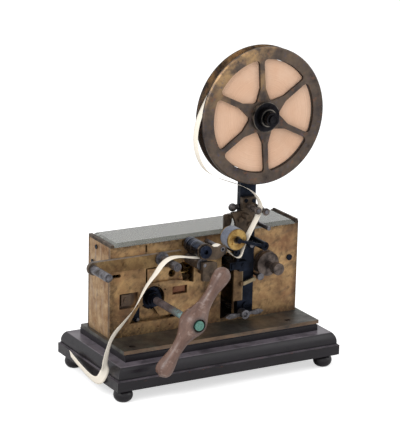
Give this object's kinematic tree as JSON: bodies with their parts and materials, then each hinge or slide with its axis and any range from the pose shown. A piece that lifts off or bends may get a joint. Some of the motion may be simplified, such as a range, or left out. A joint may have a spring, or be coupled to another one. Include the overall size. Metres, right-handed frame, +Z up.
{
  "type": "morse tape register",
  "caption": "Clockwork Morse tape register: brass movement under a glass top on a moulded plinth, spoked tape reel on a post, inking roller, feed rollers and a turned winding handle.",
  "frame": {"origin": "on the table, under the middle of the whole object (winding handle and guide arm included)", "axes": "+X to the right along the case, +Y from the front plate to the back, +Z up along the reel post"},
  "size_m": [0.2788, 0.1782, 0.3572],
  "materials": {
    "ebonised_wood": "dark french-polished wood, rubbed at the arrises",
    "handle_wood": "turned red-brown hardwood, worn",
    "case_brass": "old brass plate, mottled and unlacquered",
    "bright_brass": "turned brass",
    "bronze": "darkened bronze",
    "blued_steel": "blued and darkened steel",
    "steel": "worn grey steel",
    "verdigris_steel": "steel with green-grey tarnish",
    "glass": "bevelled plate glass",
    "felt": "grey ink felt",
    "paper": "cream paper tape",
    "roll_paper": "edge of the wound paper roll",
    "coil_wrap": "silk-covered wire on bobbins"
  },
  "bodies": {
    "case": {"plinth": "ebonised_wood", "bun_feet": "ebonised_wood", "base_plate": "bronze", "binding_posts": "bright_brass", "front_plate": "case_brass", "back_plate": "case_brass", "end_plates": "case_brass", "case_pillars": "bright_brass", "screws": "blued_steel", "glass_top": "glass", "glass_end_bars": "bronze", "inner_plates": "case_brass", "click_spring": "blued_steel", "guide_arm": "case_brass", "studs_and_pins": "steel", "roller_bearing_cock": "bronze", "lever_bracket": "bronze", "magnet_frame": "blued_steel", "magnet_coils": "coil_wrap", "lever_spring": "steel", "reel_post": "blued_steel", "reel_spindle": "blued_steel", "reel_nut": "blued_steel", "inlet_block": "bronze", "guide_bracket": "bronze", "bracket_leg": "bronze", "paper_tape": "paper"},
    "reel": {"reel_front_flange": "bronze", "reel_rear_flange": "bronze", "reel_hub": "blued_steel", "paper_roll": "roll_paper"},
    "left_guide_roller": {"left_guide_roller": "steel"},
    "middle_guide_roller": {"middle_guide_roller": "steel"},
    "print_guide_roller": {"print_guide_roller": "blued_steel"},
    "left_inlet_roller": {"left_inlet_roller": "bronze"},
    "right_inlet_roller": {"right_inlet_roller": "bronze"},
    "feed_arbor": {"lower_feed_roller": "steel", "feed_wheel": "bright_brass"},
    "pressure_arm": {"pressure_arm": "bronze"},
    "upper_feed_roller": {"upper_feed_roller": "blued_steel"},
    "printing_arbor": {"printing_wheel": "blued_steel"},
    "ink_arm": {"ink_arm": "blued_steel"},
    "ink_roller": {"ink_roller_felt": "felt", "ink_roller_cheeks": "bright_brass"},
    "writing_lever": {"writing_lever": "blued_steel", "armature": "blued_steel"},
    "tension_drum": {"tension_drum": "steel"},
    "limit_screw": {"limit_screw": "steel"},
    "clamp_screw": {"clamp_screw": "steel"},
    "stop_lever": {"stop_lever": "steel"},
    "winding_arbor": {"winding_arbor": "verdigris_steel", "ratchet_wheel": "blued_steel", "winding_handle": "handle_wood"},
    "click": {"click": "blued_steel"},
    "barrel": {"spring_barrel": "bright_brass", "mainspring": "blued_steel"},
    "second_arbor": {"second_wheel": "bright_brass"},
    "idler": {"idler_wheel": "bright_brass"},
    "governor_arbor": {"governor": "bright_brass"},
    "fly_arbor": {"fly": "bright_brass"}
  },
  "joints": [
    {"name": "feed_spin", "type": "hinge", "parent": "case", "child": "feed_arbor", "pos_m": [-0.01775, 0.0084, 0.1296], "axis": [0, -1, 0], "continuous": true},
    {"name": "second_spin", "type": "hinge", "parent": "case", "child": "second_arbor", "pos_m": [-0.02662, 0.0204, 0.10794], "axis": [0, -1, 0], "continuous": true},
    {"name": "barrel_spin", "type": "hinge", "parent": "case", "child": "barrel", "pos_m": [-0.05885, 0.0284, 0.0882], "axis": [0, -1, 0], "continuous": true},
    {"name": "idler_spin", "type": "hinge", "parent": "case", "child": "idler", "pos_m": [0.01184, 0.0344, 0.12465], "axis": [0, -1, 0], "continuous": true},
    {"name": "printing_spin", "type": "hinge", "parent": "case", "child": "printing_arbor", "pos_m": [0.02605, -0.0116, 0.1357], "axis": [0, -1, 0], "continuous": true},
    {"name": "governor_spin", "type": "hinge", "parent": "case", "child": "governor_arbor", "pos_m": [-0.00387, 0.0464, 0.11305], "axis": [0, -1, 0], "continuous": true},
    {"name": "fly_spin", "type": "hinge", "parent": "case", "child": "fly_arbor", "pos_m": [0.00247, 0.0334, 0.09946], "axis": [0, -1, 0], "continuous": true},
    {"name": "pressure_lift", "type": "hinge", "parent": "case", "child": "pressure_arm", "pos_m": [0.00335, -0.0236, 0.1448], "axis": [0, -1, 0], "range_deg": [-22, 0]},
    {"name": "upper_feed_spin", "type": "hinge", "parent": "pressure_arm", "child": "upper_feed_roller", "pos_m": [-0.01835, -0.0096, 0.145], "axis": [0, -1, 0], "continuous": true},
    {"name": "ink_lift", "type": "hinge", "parent": "case", "child": "ink_arm", "pos_m": [0.05425, -0.0116, 0.1423], "axis": [0, -1, 0], "range_deg": [-9, 0]},
    {"name": "ink_spin", "type": "hinge", "parent": "ink_arm", "child": "ink_roller", "pos_m": [0.02275, -0.0096, 0.1519], "axis": [0, -1, 0], "continuous": true},
    {"name": "reel_spin", "type": "hinge", "parent": "case", "child": "reel", "pos_m": [0.04955, -0.0171, 0.2837], "axis": [0, -1, 0], "continuous": true},
    {"name": "left_roller_spin", "type": "hinge", "parent": "case", "child": "left_guide_roller", "pos_m": [-0.13335, -0.0116, 0.1325], "axis": [0, -1, 0], "continuous": true},
    {"name": "middle_roller_spin", "type": "hinge", "parent": "case", "child": "middle_guide_roller", "pos_m": [-0.05335, -0.0116, 0.1338], "axis": [0, -1, 0], "continuous": true},
    {"name": "print_guide_spin", "type": "hinge", "parent": "case", "child": "print_guide_roller", "pos_m": [0.04005, -0.0176, 0.1446], "axis": [0, -1, 0], "continuous": true},
    {"name": "left_inlet_spin", "type": "hinge", "parent": "case", "child": "left_inlet_roller", "pos_m": [0.04725, -0.0116, 0.1809], "axis": [0, -1, 0], "continuous": true},
    {"name": "right_inlet_spin", "type": "hinge", "parent": "case", "child": "right_inlet_roller", "pos_m": [0.05735, -0.0116, 0.1785], "axis": [0, -1, 0], "continuous": true},
    {"name": "writing_stroke", "type": "hinge", "parent": "case", "child": "writing_lever", "pos_m": [0.04765, 0.0084, 0.112], "axis": [0, -1, 0], "range_deg": [-1, 0], "stiffness_Nm_per_rad": 0.12, "springref_deg": 5.73},
    {"name": "tension_turn", "type": "hinge", "parent": "case", "child": "tension_drum", "pos_m": [0.07605, -0.0016, 0.112], "axis": [0, -1, 0], "continuous": true},
    {"name": "limit_turn", "type": "hinge", "parent": "case", "child": "limit_screw", "pos_m": [0.06305, 0.0004, 0.101], "axis": [0, -1, 0], "range_deg": [-180, 180]},
    {"name": "clamp_turn", "type": "hinge", "parent": "case", "child": "clamp_screw", "pos_m": [0.03255, 0.00525, 0.1792], "axis": [1, 0, 0], "range_deg": [-180, 180]},
    {"name": "stop_turn", "type": "hinge", "parent": "case", "child": "stop_lever", "pos_m": [0.04295, -0.0016, 0.0622], "axis": [0, -1, 0], "range_deg": [-20, 20]},
    {"name": "winding_turn", "type": "hinge", "parent": "case", "child": "winding_arbor", "pos_m": [-0.05885, -0.0316, 0.0882], "axis": [0, -1, 0], "continuous": true},
    {"name": "click_lift", "type": "hinge", "parent": "case", "child": "click", "pos_m": [-0.07635, 0.0154, 0.067], "axis": [0, -1, 0], "range_deg": [0, 6], "stiffness_Nm_per_rad": 0.004, "springref_deg": -17.19}
  ],
  "couplings": [
    {"joint": "second_spin", "follows": "feed_spin", "ratio": -0.18182},
    {"joint": "barrel_spin", "follows": "feed_spin", "ratio": 0.030303},
    {"joint": "idler_spin", "follows": "feed_spin", "ratio": -1.5},
    {"joint": "printing_spin", "follows": "feed_spin", "ratio": 3},
    {"joint": "governor_spin", "follows": "feed_spin", "ratio": -5},
    {"joint": "fly_spin", "follows": "feed_spin", "ratio": 25},
    {"joint": "upper_feed_spin", "follows": "feed_spin", "ratio": -0.83951},
    {"joint": "ink_spin", "follows": "feed_spin", "ratio": -1.05}
  ]
}
